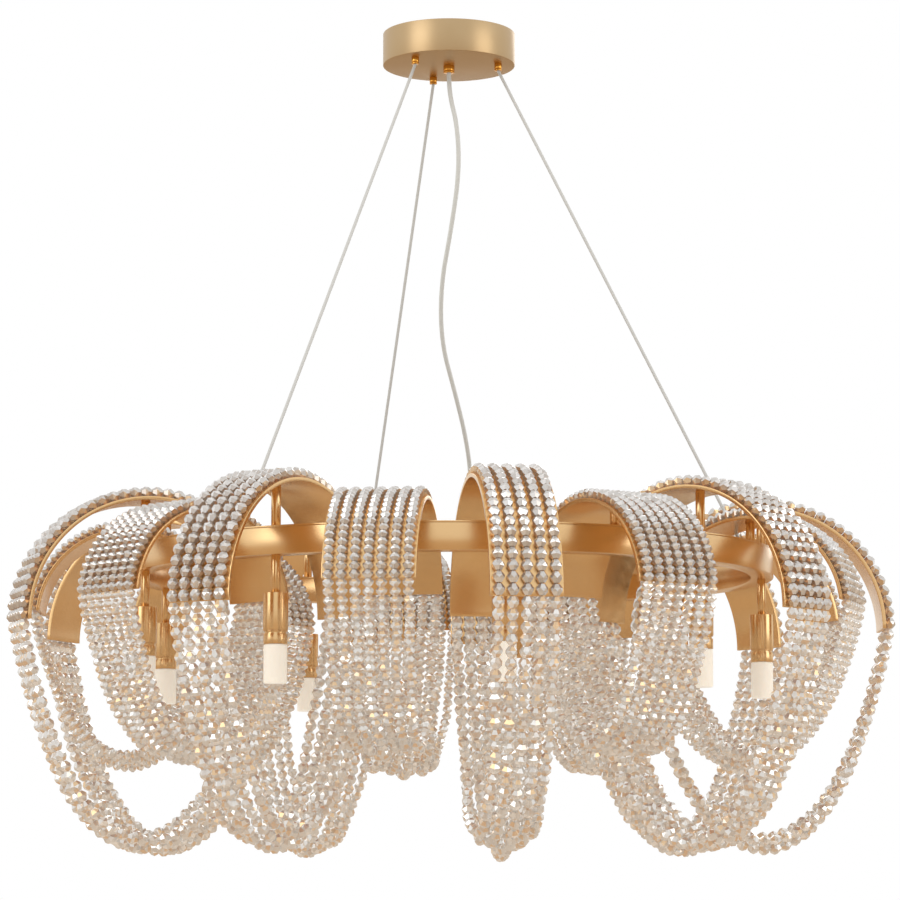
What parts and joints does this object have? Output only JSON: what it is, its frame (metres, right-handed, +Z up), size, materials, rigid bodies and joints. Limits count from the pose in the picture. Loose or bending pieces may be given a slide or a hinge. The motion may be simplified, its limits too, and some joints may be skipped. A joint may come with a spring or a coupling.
{
  "type": "crystal chandelier",
  "caption": "Ring chandelier on cables: tall and short half-round gold bands stand on the ring, dressed in crystal bead strings that hang in loops round frosted lamps",
  "frame": {"origin": "middle of the ceiling face of the mounting bracket, at the top of the canopy", "axes": "+Z up to the ceiling, -Y to the front as pictured, +X to the viewer's right"},
  "size_m": [0.9761, 0.9882, 0.9383],
  "materials": {
    "satin_gold": "satin champagne-gold plating on steel",
    "polished_gold": "polished gold-coloured brass",
    "bead_crystal": "cut champagne crystal beads",
    "frosted_glass": "frosted warm-white glass",
    "holder_ceramic": "unglazed white ceramic",
    "cable_sleeve": "steel rope in a pale clear sleeve",
    "cord_sheath": "pale clear cord sheath",
    "zinc_steel": "bright zinc-plated steel",
    "terminal_plastic": "white moulded plastic"
  },
  "bodies": {
    "root": {"cable_fittings": "polished_gold", "canopy_cover": "satin_gold", "ceiling_bracket": "zinc_steel", "cord_gland": "polished_gold", "fixings": "zinc_steel", "lamp_cups": "satin_gold", "lampholders": "holder_ceramic", "power_cord": "cord_sheath", "ring_channel": "satin_gold", "ring_cover": "satin_gold", "short_arch_1": "satin_gold", "short_arch_2": "satin_gold", "short_arch_3": "satin_gold", "short_arch_4": "satin_gold", "short_arch_5": "satin_gold", "short_arch_6": "satin_gold", "short_arch_7": "satin_gold", "short_arch_8": "satin_gold", "short_arch_9": "satin_gold", "short_beads_1": "bead_crystal", "short_beads_2": "bead_crystal", "short_beads_3": "bead_crystal", "short_beads_4": "bead_crystal", "short_beads_5": "bead_crystal", "short_beads_6": "bead_crystal", "short_beads_7": "bead_crystal", "short_beads_8": "bead_crystal", "short_beads_9": "bead_crystal", "support_rods": "satin_gold", "suspension_cable_1": "cable_sleeve", "suspension_cable_2": "cable_sleeve", "suspension_cable_3": "cable_sleeve", "tall_arch_1": "satin_gold", "tall_arch_2": "satin_gold", "tall_arch_3": "satin_gold", "tall_arch_4": "satin_gold", "tall_arch_5": "satin_gold", "tall_arch_6": "satin_gold", "tall_arch_7": "satin_gold", "tall_arch_8": "satin_gold", "tall_arch_9": "satin_gold", "tall_beads_1": "bead_crystal", "tall_beads_2": "bead_crystal", "tall_beads_3": "bead_crystal", "tall_beads_4": "bead_crystal", "tall_beads_5": "bead_crystal", "tall_beads_6": "bead_crystal", "tall_beads_7": "bead_crystal", "tall_beads_8": "bead_crystal", "tall_beads_9": "bead_crystal", "terminal_block": "terminal_plastic"},
    "lamp_1_body": {"lamp_1": "frosted_glass"},
    "lamp_2_body": {"lamp_2": "frosted_glass"},
    "lamp_3_body": {"lamp_3": "frosted_glass"},
    "lamp_4_body": {"lamp_4": "frosted_glass"},
    "lamp_5_body": {"lamp_5": "frosted_glass"},
    "lamp_6_body": {"lamp_6": "frosted_glass"},
    "lamp_7_body": {"lamp_7": "frosted_glass"},
    "lamp_8_body": {"lamp_8": "frosted_glass"},
    "lamp_9_body": {"lamp_9": "frosted_glass"}
  },
  "joints": [
    {"name": "lamp_1_pull", "type": "slide", "parent": "root", "child": "lamp_1_body", "axis": [0, 0, -1], "range_m": [0, 0.04]},
    {"name": "lamp_2_pull", "type": "slide", "parent": "root", "child": "lamp_2_body", "axis": [0, 0, -1], "range_m": [0, 0.04]},
    {"name": "lamp_3_pull", "type": "slide", "parent": "root", "child": "lamp_3_body", "axis": [0, 0, -1], "range_m": [0, 0.04]},
    {"name": "lamp_4_pull", "type": "slide", "parent": "root", "child": "lamp_4_body", "axis": [0, 0, -1], "range_m": [0, 0.04]},
    {"name": "lamp_5_pull", "type": "slide", "parent": "root", "child": "lamp_5_body", "axis": [0, 0, -1], "range_m": [0, 0.04]},
    {"name": "lamp_6_pull", "type": "slide", "parent": "root", "child": "lamp_6_body", "axis": [0, 0, -1], "range_m": [0, 0.04]},
    {"name": "lamp_7_pull", "type": "slide", "parent": "root", "child": "lamp_7_body", "axis": [0, 0, -1], "range_m": [0, 0.04]},
    {"name": "lamp_8_pull", "type": "slide", "parent": "root", "child": "lamp_8_body", "axis": [0, 0, -1], "range_m": [0, 0.04]},
    {"name": "lamp_9_pull", "type": "slide", "parent": "root", "child": "lamp_9_body", "axis": [0, 0, -1], "range_m": [0, 0.04]}
  ]
}
